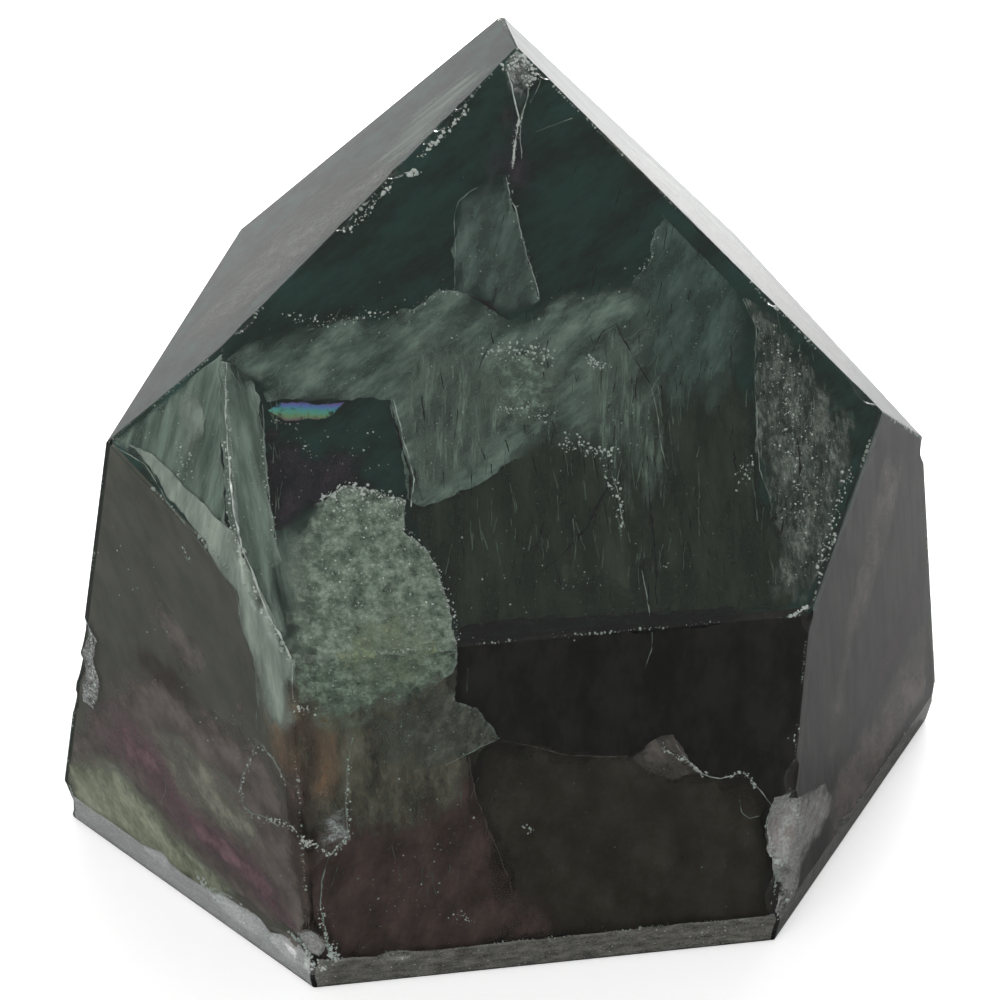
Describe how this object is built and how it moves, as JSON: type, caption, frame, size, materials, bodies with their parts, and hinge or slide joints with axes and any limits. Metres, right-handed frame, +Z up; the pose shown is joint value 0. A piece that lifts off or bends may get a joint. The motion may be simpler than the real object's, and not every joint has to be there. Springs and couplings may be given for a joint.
{
  "type": "fluorite point",
  "caption": "Thick dark green and purple fluorite point with a sloping faceted tip and a flat ground base that it stands on.",
  "frame": {"origin": "middle of the flat base, under the middle of the stone's outline", "axes": "+Z up towards the tip, -Y towards the viewer of the large front faces, +X to their right"},
  "size_m": [0.0636, 0.045, 0.0551],
  "materials": {
    "fluorite": "polished clear to cloudy fluorite, dark green and purple, with chipped edges"
  },
  "bodies": {
    "root": {"fluorite_point": "fluorite"}
  },
  "joints": []
}
